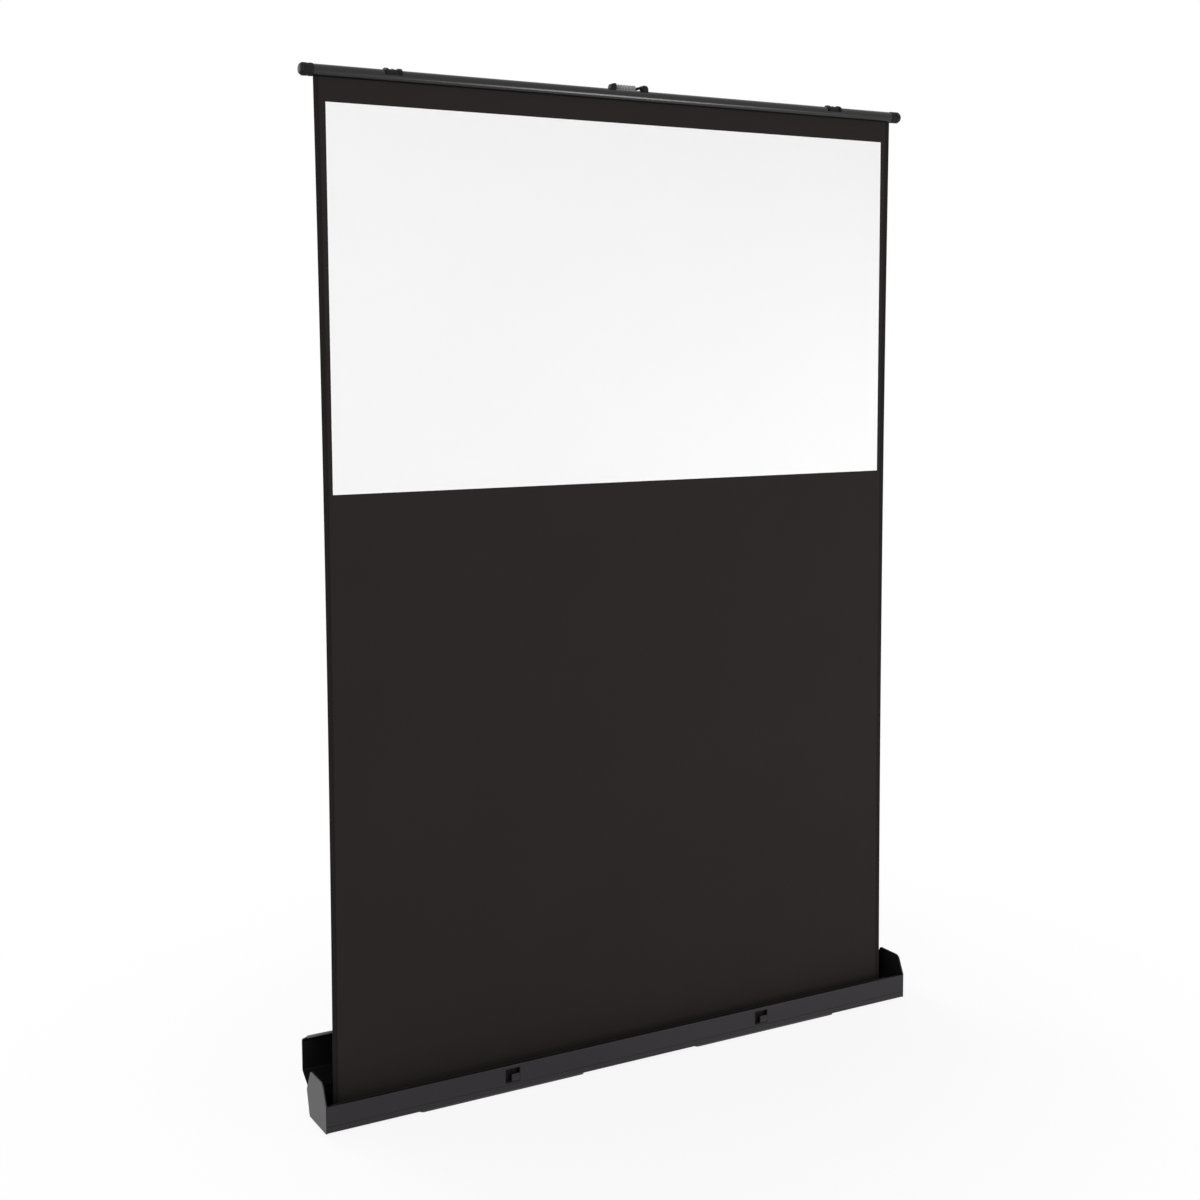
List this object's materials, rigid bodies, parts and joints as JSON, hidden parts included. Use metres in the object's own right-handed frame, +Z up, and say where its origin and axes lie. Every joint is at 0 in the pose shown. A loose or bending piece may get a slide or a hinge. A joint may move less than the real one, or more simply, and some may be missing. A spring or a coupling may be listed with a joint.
{
  "type": "pull-up projection screen",
  "caption": "Free-standing pull-up projection screen: white field in a black surround drawn from a floor case with hinged lid, held up by folding arms and a top bar.",
  "frame": {"origin": "on the floor under the middle of the case with its lid open (bottom centre of the bounding box)", "axes": "+X to the right seen from the front, +Y to the back, +Z up"},
  "size_m": [1.446, 0.144, 2.0895],
  "materials": {
    "case_metal": "dark grey satin coat",
    "plate_plastic": "dark grey, fine grain",
    "black_fabric": "matt black",
    "white_fabric": "matt white",
    "bar_metal": "black, semi-gloss",
    "black_plastic": "black, matt",
    "lever_plastic": "dark grey, matt",
    "grip_plastic": "light grey, ribbed",
    "steel": "plain steel",
    "roller_metal": "plain",
    "sole_rubber": "black rubber"
  },
  "bodies": {
    "case": {"case_trough": "case_metal", "end_plate_left": "plate_plastic", "end_plate_right": "plate_plastic", "roller_bracket_left": "bar_metal", "roller_bracket_right": "bar_metal", "roller_spindle": "steel", "torsion_spring": "steel", "arm_base_left": "bar_metal", "arm_base_right": "bar_metal", "base_pin_left": "steel", "base_pin_right": "steel", "latch_cup_left": "black_plastic", "latch_cup_right": "black_plastic", "latch_pin_left": "steel", "latch_pin_right": "steel", "foot_bolt_left": "steel", "foot_bolt_right": "steel", "black_surround": "black_fabric", "white_field": "white_fabric"},
    "roller": {"roller_tube": "roller_metal", "roller_plug_left": "black_plastic", "roller_plug_right": "black_plastic", "fabric_roll": "black_fabric"},
    "lower_left": {"lower_arm_left": "bar_metal", "elbow_pin_left": "steel"},
    "upper_left": {"upper_arm_left": "bar_metal"},
    "lower_right": {"lower_arm_right": "bar_metal", "elbow_pin_right": "steel"},
    "upper_right": {"upper_arm_right": "bar_metal"},
    "bar": {"top_bar_tube": "bar_metal", "bar_cap_left": "black_plastic", "bar_cap_right": "black_plastic", "arm_saddle_left": "bar_metal", "arm_saddle_right": "bar_metal", "top_pin_left": "steel", "top_pin_right": "steel", "handle_block_left": "black_plastic", "handle_block_right": "black_plastic", "hem_spline": "black_plastic"},
    "handle": {"handle_bail": "bar_metal", "handle_grip": "grip_plastic"},
    "lid": {"lid_shell": "case_metal", "lid_strike_left": "steel", "lid_strike_right": "steel"},
    "lever_left": {"latch_lever_left": "lever_plastic"},
    "lever_right": {"latch_lever_right": "lever_plastic"},
    "foot_left": {"foot_left": "bar_metal", "foot_pad_left_inner": "sole_rubber", "foot_pad_left_outer": "sole_rubber"},
    "foot_right": {"foot_right": "bar_metal", "foot_pad_right_inner": "sole_rubber", "foot_pad_right_outer": "sole_rubber"}
  },
  "joints": [
    {"name": "arm_fold", "type": "hinge", "parent": "case", "child": "lower_left", "pos_m": [-0.528, 0.01, 0.039], "axis": [0, 1, 0], "range_deg": [0, 73.87], "deforming": ["black_surround", "white_field"]},
    {"name": "elbow_left", "type": "hinge", "parent": "lower_left", "child": "upper_left", "pos_m": [-0.239, 0.01, 1.038], "axis": [0, 1, 0], "range_deg": [-147.73, 0]},
    {"name": "bar_pivot", "type": "hinge", "parent": "upper_left", "child": "bar", "pos_m": [-0.528, 0.005, 2.037], "axis": [0, 1, 0], "range_deg": [0, 73.87]},
    {"name": "base_right", "type": "hinge", "parent": "case", "child": "lower_right", "pos_m": [0.528, -0.008, 0.039], "axis": [0, 1, 0], "range_deg": [-73.87, 0]},
    {"name": "elbow_right", "type": "hinge", "parent": "lower_right", "child": "upper_right", "pos_m": [0.239, -0.01, 1.038], "axis": [0, 1, 0], "range_deg": [0, 147.73]},
    {"name": "roller_spin", "type": "hinge", "parent": "case", "child": "roller", "pos_m": [0, -0.0392, 0.03], "axis": [1, 0, 0], "range_deg": [-6187.94, 0]},
    {"name": "lid_hinge", "type": "hinge", "parent": "case", "child": "lid", "pos_m": [0, 0.036, 0.0568], "axis": [1, 0, 0], "range_deg": [0, 6]},
    {"name": "handle_fold", "type": "hinge", "parent": "bar", "child": "handle", "pos_m": [0, -0.022, 2.0825], "axis": [1, 0, 0], "range_deg": [0, 90]},
    {"name": "latch_left", "type": "hinge", "parent": "case", "child": "lever_left", "pos_m": [-0.313, -0.0705, 0.02428], "axis": [1, 0, 0], "range_deg": [0, 35], "stiffness_Nm_per_rad": 0.02},
    {"name": "latch_right", "type": "hinge", "parent": "case", "child": "lever_right", "pos_m": [0.313, -0.0705, 0.02428], "axis": [1, 0, 0], "range_deg": [0, 35], "stiffness_Nm_per_rad": 0.02},
    {"name": "foot_swivel_left", "type": "hinge", "parent": "case", "child": "foot_left", "pos_m": [-0.33, -0.025, 0.002], "axis": [0, 0, 1], "range_deg": [0, 90]},
    {"name": "foot_swivel_right", "type": "hinge", "parent": "case", "child": "foot_right", "pos_m": [0.33, -0.025, 0.002], "axis": [0, 0, 1], "range_deg": [-90, 0]}
  ],
  "couplings": [
    {"joint": "elbow_left", "follows": "arm_fold", "ratio": -2},
    {"joint": "bar_pivot", "follows": "arm_fold", "ratio": 1},
    {"joint": "base_right", "follows": "arm_fold", "ratio": -1},
    {"joint": "elbow_right", "follows": "arm_fold", "ratio": 2},
    {"joint": "roller_spin", "follows": "arm_fold", "ratio": -83.773}
  ]
}
